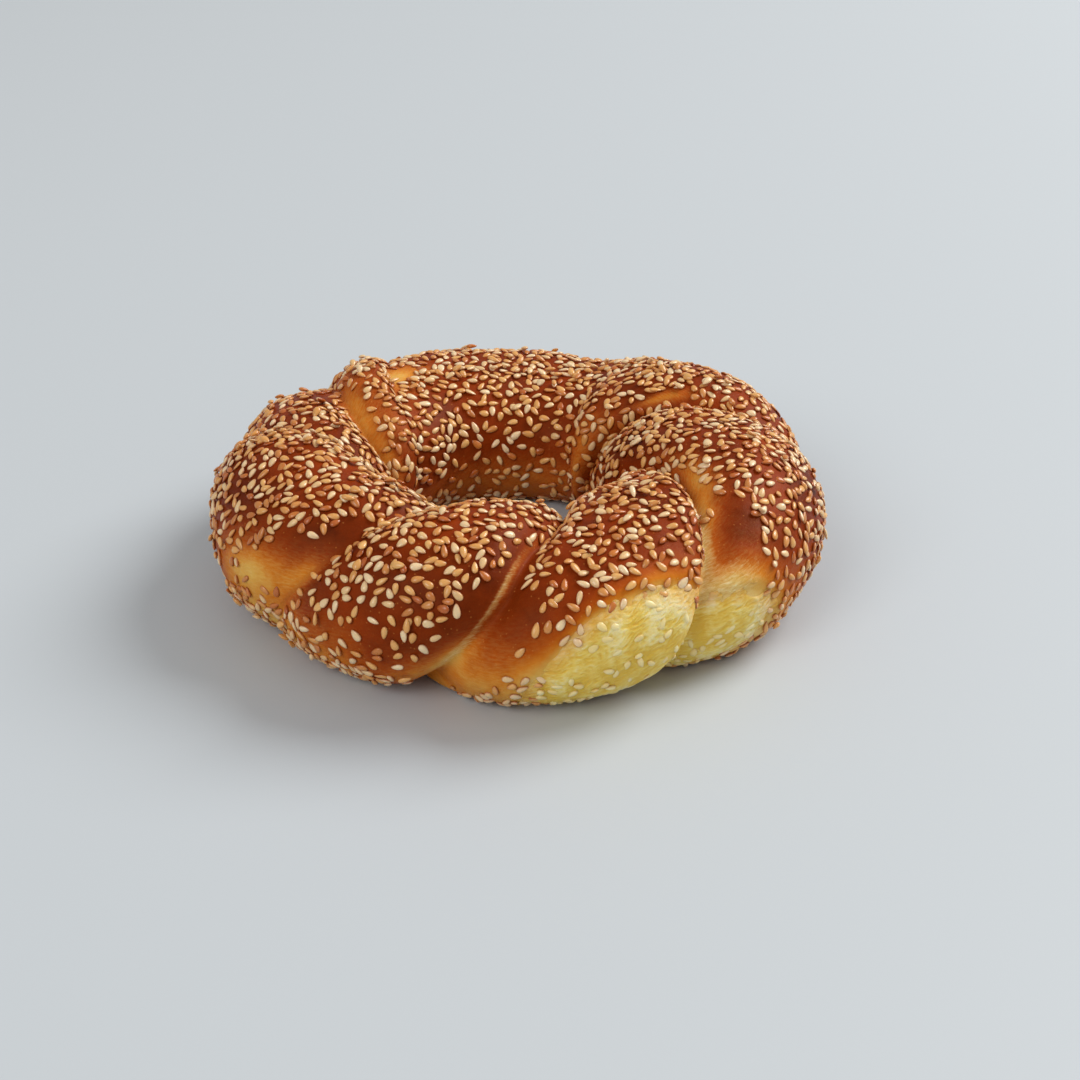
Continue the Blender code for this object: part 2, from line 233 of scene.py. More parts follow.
# The bake: 0 is pale, 1 mahogany
BAKE_LEVEL = 0.84              # of the usual crust
BAKE_SWAY = 0.09               # how much it varies
FOOT_PALE = (-55, -5)          # tube angles between which the crust turns paler towards the foot
FOOT_SHARE = 0.60              # how much paler
HOLE_PALE = (175, 225)         # and towards the foot in the hole
HOLE_SHARE = 0.45
PALE_SWAY = 9                  # degrees by which these edges vary
TRAY_FADE = (-74, -60)         # below these tube angles, and likewise towards the hole, the bread
TRAY_LEVEL = 0.50              # lay on the baking tray and browned evenly
TRAY_SWAY = 0.16               # how much that varies
TRAY_EDGE_SWAY = 7             # degrees
OPEN_SIZE = 1.12               # the pale zone round the torn crumb, in sizes of the torn patches
TORN_PALE = (0.12, 0.52)       # openness between which the crust turns paler towards the crumb
TORN_PALE_SWAY = 0.05
TORN_PALE_POWER = 1.3          # above 1 it turns pale later
TORN_SHARE = 0.85              # how much paler it is at the crumb

# Places where the seeds lie in heaps
HEAPS = (
    Patch(0.07, 85, 0.07, 45),
    Patch(1.60, 108, 0.30, 12),
    Patch(3.24, 88, 0.10, 28),
    Patch(3.65, 84, 0.25, 20),
    Patch(4.20, 90, 0.35, 22),
    Patch(4.75, 106, 0.25, 12),
    Patch(5.45, 70, 0.22, 20),
    Patch(7.15, 80, 0.10, 50),
    Patch(7.30, 112, 0.45, 14),
    Patch(8.02, -26, 0.34, 12),
)
# Places with more seeds than the crust around them, and their share of the draws
SEEDED = (
    Tint(8.02, -25, 0.36, 20, 0.60),
    Tint(0.30, -30, 0.48, 22, 0.30),
    Tint(1.36, -28, 0.08, 16, 0.35),
    Tint(1.40, -46, 0.25, 10, 0.50),
    Tint(1.75, -40, 0.40, 8, 0.60),
    Tint(2.20, -27, 0.30, 9, 0.60),
    Tint(2.24, -4, 0.14, 18, 0.26),
    Tint(2.05, -46, 0.35, 7, 0.50),
    Tint(2.60, 5, 0.26, 55, 0.40),
)
TORN_SEEDS = 0.075             # share of the draws on the crumb
TORN_CLEAR = 0.75              # share that is missing on the crust beside the crumb
TORN_CLEAR_FADE = (0.16, 0.45)  # openness between which they go missing
CREASE_CLEAR = 0.035           # hardly any seeds this close to a crease's outer side, in lobes
CREASE_CLEAR_SHARE = 0.9       # share that is missing there
CREASE_CLEAR_FADE = (60, 110)  # tube angles between which the creases fill with seeds again
FOOT_THIN = 3.0                # the coat thins out to exp(-3) at the foot
FOOT_THIN_FADE = (-35, 55)
HOLE_THIN = 1.8                # and to exp(-1.8) in the hole
HOLE_THIN_FADE = (140, 200)
FULL_AREA = 90                 # percentile of the crust's area for each draw at which it counts in full

# The seeds
SEED_LENGTH = 3.0 * MM
SEED_WIDTH = 1.78 * MM
SEED_THICKNESS = 1.0 * MM
SEED_SPREAD = (0.09, 0.10, 0.14)
SEED_LIFT = (0.08, 0.36)       # height of a seed's middle above what it lies on, in thicknesses
SEED_LOWEST = 0.02 * MM        # no seed reaches lower than this
SEED_EGG = 0.30                # how much narrower than the middle the seed's tip is
SEED_SEGMENTS = 8
SEED_RINGS = 7
SEED_END = 0.55                # from its end to the first ring of points, in steps between rings
GLAZE_SHADE_TOP = 0.34                 # height on a seed of thickness 1 up to which it is darker: baked glaze, and painted shade where it sits on the crust
SEED_GAP = 1.40 * MM           # least distance between the discs that stand for two seeds
SEED_DISC = 0.58 * MM          # the discs lie this far to both sides of the seed's middle
RANDOM_SEED = 11

# Layers of seeds: how many are drawn, between which tube angles, the least gap between two, how high
# they lie on the crust, and by how many degrees they pitch and roll
Layer = namedtuple("Layer", "draws tubes gap lift tilt")
BASE_LAYER = Layer(60000, (-62, 238), SEED_GAP, 0, (8, 9))
HEAP_LAYER = Layer(7000, (-30, 150), 1.6 * SEED_GAP, 0.95 * MM, (16, 16))
HEAP_STRAYS = 0.05             # share of the heap's draws beside the heaps
HEAP_SHARE = 0.75              # and how much more in them
HEAP_GLAZE_AND_SHADE = 0.25              # share of the darker lower part, baked glaze and painted shade, on the heaped seeds

# Kinds of seeds: those on the torn crumb, and the baked ones by their luck, each up to the given one
UNBAKED_KIND = "seeds_pale"
UNBAKED_GLOW = 0.48            # the seeds are unbaked where the torn patches glow more than this
UNBAKED_LOWEST = -52           # and above this tube angle
BAKED_KINDS = (
    ("seeds_ivory", 0.34),
    ("seeds_golden", 0.74),
    ("seeds_toasted", 0.92),
    ("seeds_glazed", math.inf),
)
HEAP_PALER = 0.10              # luck that seeds lose in the heaps
FOOT_PALER = 0.22              # and towards the foot,
SEED_PALE = (-42, 6)           # between these tube angles


def smooth(low, high, value):
    """0 below low, 1 above high, an S-curve between them."""
    share = np.clip((value - low) / (high - low), 0, 1)
    return share * share * (3 - 2 * share)


def fade(limits, tube):
    """0 below the first of the tube angles given in degrees, 1 above the second."""
    return smooth(math.radians(limits[0]), math.radians(limits[1]), tube)


def of_crease(name, index):
    """The named value of the creases of the given indices."""
    values = np.array([getattr(crease, name) for crease in CREASES])
    return values[index]


def of_lobe(name, twist):
    """The named value of the lobes, blended between the middle of one and the middle of the next."""
    values = np.array([getattr(lobe, name) for lobe in LOBES])
    lobe = np.floor(twist - 0.5).astype(int)
    share = smooth(*LOBE_BLEND, twist - 0.5 - lobe)
    return values[lobe % len(LOBES)] * (1 - share) + values[(lobe + 1) % len(LOBES)] * share


def bearing_between_creases(twist, tube):
    """Bearing of each twist at each tube angle, straight from one crease to the next."""
    advance = TURN * (tube - math.pi / 2 - TURN_LAG * (np.sin(tube) - 1))
    sideways = np.exp(-((np.degrees(tube) - BOW_MIDDLE) / BOW_SPREAD) ** 2)
    before = np.floor(twist).astype(int)

    def crease_bearing(number):
        turns, index = np.divmod(number, len(CREASES))
        top = np.radians(of_crease("bearing", index) + 360.0 * turns)
        bow = np.radians(of_crease("bow", index)) * sideways
        return top + of_crease("slant", index) * advance + bow

    share = twist - before
    return crease_bearing(before) * (1 - share) + crease_bearing(before + 1) * share


def bearing_at(twist, tube):
    """The same everywhere: across the underside each crease meets the next but one."""
    first = math.radians(TWIST_FROM)
    last = math.radians(TWIST_TO)
    direct = bearing_between_creases(twist, np.clip(tube, first, last))
    below = np.where(tube < first, tube + 2 * math.pi, tube)
    shifted = np.where(tube < first, twist - 2, twist)
    inner = bearing_between_creases(shifted, np.full_like(tube, last))
    outer = bearing_between_creases(shifted + 2, np.full_like(tube, first))
    share = (below - last) / (first + 2 * math.pi - last)
    across = inner * (1 - share) + outer * share
    return np.where((tube < first) | (tube > last), across, direct)


def patch_place(patch, twist, tube):
    """Place along and up a patch, 1 at its half size."""
    turn = len(CREASES)
    along = (twist - patch.twist + turn / 2) % turn - turn / 2
    return along / patch.half_twist, (np.degrees(tube) - patch.tube) / patch.half_tube


def patch_cover(patches, twist, tube):
    """1 on the patches, 0 beside them."""
    cover = np.zeros_like(twist)
    for patch in patches:
        along, up = patch_place(patch, twist, tube)
        reach = np.abs(along) ** PATCH_SQUARENESS + np.abs(up) ** PATCH_SQUARENESS
        cover = np.maximum(cover, 1 - smooth(*PATCH_EDGE, reach))
    return cover


def patch_glow(patches, twist, tube):
    """As patch_cover, but with edges that fade slowly."""
    glow = np.zeros_like(twist)
    for patch in patches:
        along, up = patch_place(patch, twist, tube)
        glow = np.maximum(glow, np.exp(-(along ** 2 + up ** 2)))
    return glow


def tint_patch(tint):
    """The patch of a tint, without its amount."""
    return Patch(*tint[:4])


def tint_cover(tints, twist, tube):
    """How strongly the tinted patches change the bake."""
    cover = np.zeros_like(twist)
    for tint in tints:
        cover = 1 - (1 - cover) * (1 - tint.amount * patch_glow((tint_patch(tint),), twist, tube))
    return cover


def groove_depth(twist):
    """Depth of the grooves at each point, from the creases on both sides of it."""
    before = np.floor(twist).astype(int)
    share = twist - before
    depth = np.zeros_like(twist)
    for number, distance, side in ((before, share, "after"), (before + 1, 1 - share, "before")):
        index = number % len(CREASES)
        away = np.hypot(distance / of_crease(side, index), GROOVE_ROUNDING)
        closeness = np.exp(-away ** GROOVE_PROFILE)
        depth += of_crease("depth", index) * closeness * (1 - smooth(GROOVE_REACH, 1, distance))
    return depth


def relief(twist, tube):
    """Height of the strands, grooves and torn patches over the plain rope."""
    nearest = np.round(twist).astype(int) % len(CREASES)
    foot = of_crease("foot", nearest)
    outside = foot + (1 - foot) * fade(FOOT_FADE, tube)
    inside = 1 - HOLE_LOSS * fade(HOLE_FADE, tube)
    fullness = np.hypot(np.sin(math.pi * twist), PILLOW_ROUNDING) ** PILLOW_FULLNESS
    pillow = PILLOW * of_crease("pillow", nearest) * (fullness - 1)
    height = (pillow - groove_depth(twist)) * np.minimum(outside, inside)
    height += of_lobe("rise", twist) * fade(RISE_FADE[:2], tube) * (1 - fade(RISE_FADE[2:], tube))
    height += of_lobe("push", twist) * np.exp(-(np.degrees(tube) / PUSH_SPREAD) ** 2)
    height -= of_lobe("sag", twist) * fade(SAG_FADE[:2], tube) * (1 - fade(SAG_FADE[2:], tube))
    return height - TORN_DEPTH * patch_cover(TORN, twist, tube)


def unevenness(bearing, tube):
    return UNEVEN * sum(
        wave.share * np.sin(wave.round_ring * bearing + wave.round_rope * tube + wave.start)
        for wave in WAVES)


def rope_section(bearing, tube):
    """Distance from the rope's middle to its plain outline."""
    half_width = ROPE_HALF_WIDTH + ROPE_WIDTH_SWAY * np.cos(bearing)
    sway = np.cos(2 * bearing) - np.sin(bearing)
    height = ROPE_HEIGHT + ROPE_HEIGHT_SWAY * sway
    above = np.where(np.sin(tube) > 0, height - ROPE_MIDDLE, ROPE_MIDDLE + ROPE_SINK)
    across_share = np.abs(np.cos(tube) / half_width) ** ROPE_SQUARENESS
    up_share = np.abs(np.sin(tube) / above) ** ROPE_SQUARENESS
    return (across_share + up_share) ** (-1 / ROPE_SQUARENESS)


def crust_point(twist, tube, detail=0.0):
    """Position of the crust, raised by detail from the plain form."""
    bearing = bearing_at(twist, tube)
    reach = rope_section(bearing, tube) + relief(twist, tube) + unevenness(bearing, tube) + detail
    oval = RING_OVAL * np.cos(2 * (bearing - math.radians(RING_OVAL_BEARING)))
    radius = RING_RADIUS + oval + RING_LEAN * np.sin(bearing) + reach * np.cos(tube)
    height = ROPE_MIDDLE + reach * np.sin(tube)
    softened = EDGE_SOFTNESS + (height - EDGE_SOFTNESS) * EDGE_SLOPE
    height = np.maximum(np.where(height > EDGE_SOFTNESS, height, softened), UNDERSIDE)
    x = radius * np.cos(bearing) - CENTRE[0]
    y = radius * np.sin(bearing) - CENTRE[1]
    return np.stack([x, y, height], -1)


def noise_at(points, field):
    """Smooth noise of about -1 to 1 at points of shape (n, 3)."""
    scaled = points / field.size + field.offset
    return np.array([noise.noise(Vector(point)) for point in scaled]) * NOISE_GAIN


def openness(twist, tube):
    """1 in the middle of the torn patches, about 0.45 at their edges, fading slowly beyond."""
    wider = []
    for patch in TORN:
        half_twist = patch.half_twist * OPEN_SIZE
        half_tube = patch.half_tube * OPEN_SIZE
        wider.append(Patch(patch.twist, patch.tube, half_twist, half_tube))
    return patch_glow(wider, twist, tube)


def bake_level(twist, tube, sway):
    """How dark the crust is baked: 0 in the pale creases, 1 on the mahogany crests."""
    degrees = np.degrees(tube)
    level = BAKE_LEVEL + BAKE_SWAY * sway
    level = level + (1 - level) * tint_cover(DEEP, twist, tube)
    level = level * (1 - FOOT_SHARE * (1 - smooth(*FOOT_PALE, degrees + PALE_SWAY * sway)))
    level = level * (1 - HOLE_SHARE * smooth(*HOLE_PALE, degrees + PALE_SWAY * sway))
    level = level * (1 - tint_cover(GOLDEN, twist, tube))
    below = np.where(degrees > 90, 180 - degrees, degrees)
    on_tray = 1 - smooth(*TRAY_FADE, below + TRAY_EDGE_SWAY * sway)
    level = level + (TRAY_LEVEL + TRAY_SWAY * sway - level) * on_tray
    opened = smooth(*TORN_PALE, openness(twist, tube) + TORN_PALE_SWAY * sway)
    return level * (1 - TORN_SHARE * opened ** TORN_PALE_POWER)


def grid_faces(columns, rows, seam_shift):
    """Quads of a ring of columns; the last row joins the first, shifted by seam_shift columns."""
    column, row = np.meshgrid(np.arange(columns), np.arange(rows), indexing="ij")
    shift = np.where(row == rows - 1, seam_shift, 0)
    upper = (row + 1) % rows
    return np.stack([
        column * rows + row,
        (column + 1) % columns * rows + row,
        (column + 1 + shift) % columns * rows + upper,
        (column + shift) % columns * rows + upper,
    ], -1).reshape(-1, 4)


def sheet_faces(columns, rows):
    """Quads of an open sheet of columns."""
    column, row = np.meshgrid(np.arange(columns - 1), np.arange(rows - 1), indexing="ij")
    corner = (column * rows + row).ravel()
    return np.stack([corner, corner + rows, corner + rows + 1, corner + 1], -1)


def every_pair(twists, tubes):
    """Each twist with each tube angle, as two flat arrays."""
    twist, tube = np.meshgrid(twists, tubes, indexing="ij")
    return twist.ravel(), tube.ravel()


def mesh_object(name, points, faces):
    mesh = bpy.data.meshes.new(name)
    mesh.vertices.add(len(points))
    mesh.vertices.foreach_set("co", np.ascontiguousarray(points, dtype=np.float32).ravel())
    sides = faces.shape[1]
    mesh.loops.add(faces.size)
    mesh.loops.foreach_set("vertex_index", faces.astype(np.int32).ravel())
    mesh.polygons.add(len(faces))
    mesh.polygons.foreach_set("loop_start", np.arange(len(faces), dtype=np.int32) * sides)
    mesh.update(calc_edges=True)
    mesh.validate()
    mesh.shade_smooth()
    piece = bpy.data.objects.new(name, mesh)
    bpy.context.scene.collection.objects.link(piece)
    return piece


def set_attribute(piece, name, values, kind="FLOAT", field="value"):
    attribute = piece.data.attributes.new(name, kind, "POINT")
    attribute.data.foreach_set(field, np.ascontiguousarray(values, dtype=np.float32).ravel())


def tube_rows():
    """Tube angles of the mesh's rows from -90 to 270, sparser under the bread."""
    even = np.arange(ROWS) / ROWS
    return math.radians(-90) + 2 * math.pi * (even + ROW_CROWDING * np.sin(2 * np.pi * even))


def torn_edge(points, twist, tube):
    """1 on the torn crumb, 0 on the crust, with a ragged edge between them."""
    ragged = RAGGED * noise_at(points, RAGGED_FIELD) + RAGGED_FINE * noise_at(points, RAGGED_FINE_FIELD)
    return patch_cover(TORN, twist + ragged, tube + np.maximum(RAGGED_UP * ragged, RAGGED_LOWEST))


def fibre_field(points, twist, tube):
    """Place along and across the crumb's fibres, which run up to the right, in millimetres."""
    along = bearing_at(twist, tube) * FIBRE_RING_RADIUS
    up = tube * FIBRE_ROPE_RADIUS
    lean = math.radians(FIBRE_LEAN)
    return np.stack([
        along * math.cos(lean) + up * math.sin(lean),
        up * math.cos(lean) - along * math.sin(lean),
        np.zeros_like(up),
    ], -1)


def make_bread():
    columns = COLUMNS_PER_LOBE * len(CREASES)
    twist, tube = every_pair(np.arange(columns) / COLUMNS_PER_LOBE, tube_rows())
    plain = crust_point(twist, tube)
    sway = noise_at(plain, SWAY_FIELD)
    lumps = CRUST_LUMPS * noise_at(plain, CRUST_LUMP_FIELD)
    bread = mesh_object("bread", crust_point(twist, tube, lumps),
                        grid_faces(columns, ROWS, 2 * COLUMNS_PER_LOBE))
    set_attribute(bread, "bake", bake_level(twist, tube, sway))
    set_attribute(bread, "stretch", tint_cover(GOLDEN, twist, tube))
    set_attribute(bread, "frayed", tint_cover(FRAYED, twist, tube))
    set_attribute(bread, "fibre", fibre_field(plain, twist, tube), "FLOAT_VECTOR", "vector")
    return bread


def make_crumb():
    """The torn crumb: a fine fibrous sheet that dips under the crust outside the patches."""
    columns, rows = CRUMB_STEPS
    twist, tube = every_pair(np.linspace(*CRUMB_TWISTS, columns),
                             np.radians(np.linspace(*CRUMB_TUBES, rows)))
    plain = crust_point(twist, tube)
    torn = torn_edge(plain, twist, tube)
    fibre = fibre_field(plain, twist, tube)
    lumps = noise_at(plain, CRUMB_LUMP_FIELD)
    swirl = noise_at(plain, CRUMB_SWIRL_FIELD)[:, None] * CRUMB_SWIRL
    stretched = (fibre + swirl) * CRUMB_STRETCH
    coarse = 1 - np.abs(noise_at(stretched, COARSE_FIBRE_FIELD))
    medium = 1 - np.abs(noise_at(stretched, MEDIUM_FIBRE_FIELD))
    fluff = COARSE_SHARE * coarse + MEDIUM_SHARE * medium + LUMP_SHARE * lumps
    detail = (CRUMB_FLUFF * fluff + CRUMB_RISE) * torn ** 2 - CRUMB_TUCK * (1 - torn)
    faces = sheet_faces(columns, rows)
    faces = faces[torn[faces].max(1) > CRUMB_CUT]
    crumb = mesh_object("crumb", crust_point(twist, tube, detail), faces)
    # the fibres' height also sets their colour: darker yellow in the hollows as painted shade, paler
    # cream on the raised fibres
    set_attribute(crumb, "fluff", fluff)
    set_attribute(crumb, "open", openness(twist, tube))
    set_attribute(crumb, "cream", fade(CRUMB_CREAM, tube + CRUMB_CREAM_SWAY * lumps))
    set_attribute(crumb, "fibre", fibre, "FLOAT_VECTOR", "vector")
    return crumb


def seed_density(twist, tube):
    """Share of the draws that may become a seed."""
    degrees = np.degrees(tube)
    sparse = FOOT_THIN * (1 - smooth(*FOOT_THIN_FADE, degrees))
    sparse = sparse + HOLE_THIN * smooth(*HOLE_THIN_FADE, degrees)
    torn = patch_cover(TORN, twist, tube)
    density = np.exp(-sparse) * (1 - torn) + TORN_SEEDS * torn
    near_torn = smooth(*TORN_CLEAR_FADE, openness(twist, tube)) * (1 - torn)
    density = density * (1 - TORN_CLEAR * near_torn)
    for tint in SEEDED:
        density = np.maximum(density, tint.amount * patch_cover((tint_patch(tint),), twist, tube))
    in_crease = np.exp(-((twist - np.round(twist)) / CREASE_CLEAR) ** 2)
    in_crease = in_crease * (1 - smooth(*CREASE_CLEAR_FADE, degrees))
    return density * (1 - patch_cover(BARE, twist, tube)) * (1 - CREASE_CLEAR_SHARE * in_crease)


def heap_density(twist, tube):
    """The same for the seeds that lie on others."""
    return seed_density(twist, tube) * (HEAP_STRAYS + HEAP_SHARE * patch_cover(HEAPS, twist, tube))


def unit_seed():
    """A seed of length, width and thickness 1, its narrow end at +X, as points and faces."""
    bend = (np.arange(SEED_RINGS) + SEED_END) / (SEED_RINGS - 1 + 2 * SEED_END) * math.pi
    along = (1 - np.cos(bend)) / 2
    wide = np.sin(bend) * (1 - SEED_EGG * (2 * along - 1))
    wide = wide / wide.max() / 2
    around = np.arange(SEED_SEGMENTS) / SEED_SEGMENTS * 2 * math.pi
    rings = np.stack([
        np.repeat(along[:, None] - 0.5, SEED_SEGMENTS, 1),
        wide[:, None] * np.cos(around)[None],
        wide[:, None] * np.sin(around)[None],
    ], -1).reshape(-1, 3)
    points = np.concatenate([rings, [[-0.5, 0, 0], [0.5, 0, 0]]])
    faces = []
    for ring in range(SEED_RINGS - 1):
        for side in range(SEED_SEGMENTS):
            here = ring * SEED_SEGMENTS + side
            beside = ring * SEED_SEGMENTS + (side + 1) % SEED_SEGMENTS
            faces.append((here, beside, beside + SEED_SEGMENTS))
            faces.append((here, beside + SEED_SEGMENTS, here + SEED_SEGMENTS))
    blunt = len(rings)
    last = (SEED_RINGS - 1) * SEED_SEGMENTS
    for side in range(SEED_SEGMENTS):
        beside = (side + 1) % SEED_SEGMENTS
        faces.append((blunt, beside, side))
        faces.append((blunt + 1, last + side, last + beside))
    return points, np.array(faces)


def crust_frame(twist, tube):
    """Position and normal of the crust, and its direction round the ring."""
    place = crust_point(twist, tube)
    along = crust_point(twist + NUDGE, tube) - crust_point(twist - NUDGE, tube)
    around = crust_point(twist, tube + NUDGE) - crust_point(twist, tube - NUDGE)
    normal = np.cross(around, along)
    normal = normal / np.linalg.norm(normal, axis=-1, keepdims=True)
    bearing = bearing_at(twist, tube)
    outward = place - np.stack([
        RING_RADIUS * np.cos(bearing) - CENTRE[0],
        RING_RADIUS * np.sin(bearing) - CENTRE[1],
        np.full_like(tube, ROPE_MIDDLE),
    ], -1)
    normal = normal * np.sign((normal * outward).sum(-1, keepdims=True))
    along = along / np.linalg.norm(along, axis=-1, keepdims=True)
    return place, normal, along


class Crowd:
    """Keeps the discs that stand for the seeds and says whether a new seed would overlap them."""

    def __init__(self, gap):
        self.gap = gap
        self.cells = {}

    def home(self, disc):
        return np.floor(disc / self.gap).astype(int)

    def fits(self, discs):
        for disc in discs:
            x, y, z = self.home(disc)
            for cell in product((x - 1, x, x + 1), (y - 1, y, y + 1), (z - 1, z, z + 1)):
                for other in self.cells.get(cell, ()):
                    away = disc - other
                    if away.dot(away) < self.gap ** 2:
                        return False
        return True

    def add(self, discs):
        for disc in discs:
            self.cells.setdefault(tuple(self.home(disc)), []).append(disc)


def draw_sites(draw, twist, tube, density, gap, lift):
    """Of the drawn places, those where a seed lies clear of the others."""
    place, normal, along = crust_frame(twist, tube)
    place = place + normal * lift
    turn = draw.uniform(0, 2 * math.pi, len(twist))[:, None]
    axis = along * np.cos(turn) + np.cross(normal, along) * np.sin(turn)
    across = crust_point(twist + NUDGE, tube) - crust_point(twist, tube)
    around = crust_point(twist, tube + NUDGE) - crust_point(twist, tube)
    area = np.linalg.norm(np.cross(across, around), axis=-1)
    chance = density * area / np.percentile(area, FULL_AREA)
    crowd = Crowd(gap)
    chosen = []
    for number in np.flatnonzero(draw.uniform(0, 1, len(twist)) < chance):
        discs = (place[number] + axis[number] * SEED_DISC, place[number] - axis[number] * SEED_DISC)
        if crowd.fits(discs):
            crowd.add(discs)
            chosen.append(number)
    return [values[chosen] for values in (twist, tube, place, normal, axis)]


def tilted(draw, normal, axis, pitch, roll):
    """Turns each seed a little about its own axes."""
    count = len(axis)
    rise = np.radians(draw.normal(0, pitch, count))[:, None]
    lean = np.radians(draw.normal(0, roll, count))[:, None]
    side = np.cross(normal, axis)
    new_axis = axis * np.cos(rise) + normal * np.sin(rise)
    upright = normal * np.cos(rise) - axis * np.sin(rise)
    return upright * np.cos(lean) + side * np.sin(lean), new_axis


def scatter(draw, layer, density_at):
    """The seeds of one layer: their twists, tube angles, places, normals and long axes."""
    twist = draw.uniform(0, len(CREASES), layer.draws)
    tube = np.radians(draw.uniform(*layer.tubes, layer.draws))
    density = density_at(twist, tube)
    twist, tube, place, normal, axis = draw_sites(draw, twist, tube, density, layer.gap, layer.lift)
    return twist, tube, place, *tilted(draw, normal, axis, *layer.tilt)


def joined_seeds(name, place, normal, axis, size, tone, glazed):
    """All seeds of one kind as a single mesh."""
    points, faces = unit_seed()
    side = np.cross(normal, axis)
    scaled = points[None] * size[:, None, :]
    world = (
        place[:, None, :]
        + scaled[..., 0:1] * axis[:, None, :]
        + scaled[..., 1:2] * side[:, None, :]
        + scaled[..., 2:3] * normal[:, None, :]
    )
    world[..., 2] = np.maximum(world[..., 2], SEED_LOWEST)
    count = len(place)
    all_faces = (faces[None] + np.arange(count)[:, None, None] * len(points)).reshape(-1, 3)
    piece = mesh_object(name, world.reshape(-1, 3), all_faces)
    set_attribute(piece, "tone", np.repeat(tone, len(points)))
    # each seed's lower part is darker: partly the baked glaze, partly painted shade where it sits on
    # the crust
    rim = smooth(GLAZE_SHADE_TOP, 0.0, np.tile(points[:, 2], count))
    set_attribute(piece, "rim", rim * np.repeat(glazed, len(points)))
    return piece


def sorted_kinds(luck, unbaked):
    """The name of each kind of seed, and which seeds are of that kind."""
    kinds = [(UNBAKED_KIND, unbaked)]
    lowest = -math.inf
    for name, highest in BAKED_KINDS:
        kinds.append((name, ~unbaked & (luck >= lowest) & (luck < highest)))
        lowest = highest
    return kinds


def make_seeds():
    draw = np.random.default_rng(RANDOM_SEED)
    base = scatter(draw, BASE_LAYER, seed_density)
    heap = scatter(draw, HEAP_LAYER, heap_density)
    twist, tube, place, normal, axis = (np.concatenate(parts) for parts in zip(base, heap))
    count = len(place)
    size = np.array([SEED_LENGTH, SEED_WIDTH, SEED_THICKNESS]) * draw.normal(1, SEED_SPREAD, (count, 3))
    lift = size[:, 2:3] * draw.uniform(*SEED_LIFT, count)[:, None]
    place = place + normal * lift
    tone = draw.uniform(0, 1, count)
    # the heaped seeds get less of that darker lower part, glaze and painted shade
    glazed = np.repeat([1, HEAP_GLAZE_AND_SHADE], [len(base[0]), len(heap[0])])
    luck = draw.uniform(0, 1, count)
    luck = luck - HEAP_PALER * patch_glow(HEAPS, twist, tube) - FOOT_PALER * (1 - fade(SEED_PALE, tube))
    unbaked = (patch_glow(TORN, twist, tube) > UNBAKED_GLOW) & (tube > math.radians(UNBAKED_LOWEST))
    return [
        joined_seeds(name, place[own], normal[own], axis[own], size[own], tone[own], glazed[own])
        for name, own in sorted_kinds(luck, unbaked)
    ]


def srgb(red, green, blue):
    """A colour given as 8-bit screen values, in linear light."""
    screen = np.array([red, green, blue]) / 255
    linear = np.where(screen > 0.04045, ((screen + 0.055) / 1.055) ** 2.4, screen / 12.92)
    return (*[float(value) for value in linear], 1.0)


def grey(value):
    return (value, value, value, 1.0)


class Shader:
    """A small helper that adds and joins the nodes of one material."""

    def __init__(self, name):
        self.material = bpy.data.materials.new(name)
        self.material.use_nodes = True
        self.tree = self.material.node_tree
        self.surface = self.tree.nodes["Principled BSDF"]

    def add(self, kind, **settings):
        node = self.tree.nodes.new(kind)
        for key, value in settings.items():
            setattr(node, key, value)
        return node

    def put(self, value, socket):
        """Links an output to a socket, or sets the socket to a plain value."""
        if isinstance(value, bpy.types.NodeSocket):
            self.tree.links.new(value, socket)
        else:
            socket.default_value = value

    def attribute(self, name, output="Fac"):
        return self.add("ShaderNodeAttribute", attribute_name=name).outputs[output]

    def position(self):
        return self.add("ShaderNodeTexCoord").outputs["Object"]

    def stretched(self, vector, scale):
        node = self.add("ShaderNodeMapping")
        node.inputs["Scale"].default_value = scale
        self.put(vector, node.inputs["Vector"])
        return node.outputs["Vector"]

    def noise(self, vector, scale, detail=2.0, roughness=0.5, distortion=0.0):
        node = self.add("ShaderNodeTexNoise")
        self.put(vector, node.inputs["Vector"])
        node.inputs["Scale"].default_value = scale
        node.inputs["Detail"].default_value = detail
        node.inputs["Roughness"].default_value = roughness
        node.inputs["Distortion"].default_value = distortion
        return node.outputs["Fac"]

    def cells(self, vector, scale):
        """Distance from the middle of the nearest cell."""
        node = self.add("ShaderNodeTexVoronoi")
        self.put(vector, node.inputs["Vector"])
        node.inputs["Scale"].default_value = scale
        return node.outputs["Distance"]

    def maths(self, operation, *values):
        node = self.add("ShaderNodeMath", operation=operation)
        for value, socket in zip(values, node.inputs):
            self.put(value, socket)
        return node.outputs[0]

    def times(self, value, share):
        return self.maths("MULTIPLY", value, share)

    def scaled(self, value, gain, base):
        """The value times the gain, plus the base."""
        return self.maths("MULTIPLY_ADD", value, gain, base)

    def swayed(self, value, noise_value, amount):
        """The value moved up and down by a noise that is 0.5 on average."""
        return self.scaled(noise_value, amount, self.maths("ADD", value, -amount / 2))

    def ramp(self, value, stops):
        node = self.add("ShaderNodeValToRGB")
        elements = node.color_ramp.elements
        while len(elements) < len(stops):
            elements.new(0.5)
        for element, (place, colour) in zip(elements, stops):
            element.position = place
            element.color = colour
        self.put(value, node.inputs["Fac"])
        return node.outputs["Color"]

    def mix(self, share, first, second):
        node = self.add("ShaderNodeMix", data_type="RGBA")
        self.put(share, node.inputs["Factor"])
        self.put(first, node.inputs["A"])
        self.put(second, node.inputs["B"])
        return node.outputs["Result"]

    def bump(self, height, distance, strength, normal=None):
        node = self.add("ShaderNodeBump")
        node.inputs["Strength"].default_value = strength
        node.inputs["Distance"].default_value = distance
        self.put(height, node.inputs["Height"])
        if normal is not None:
            self.put(normal, node.inputs["Normal"])
        return node.outputs["Normal"]

    def finish(self, **inputs):
        for name, value in inputs.items():
            self.put(value, self.surface.inputs[name.replace("_", " ")])
        return self.material


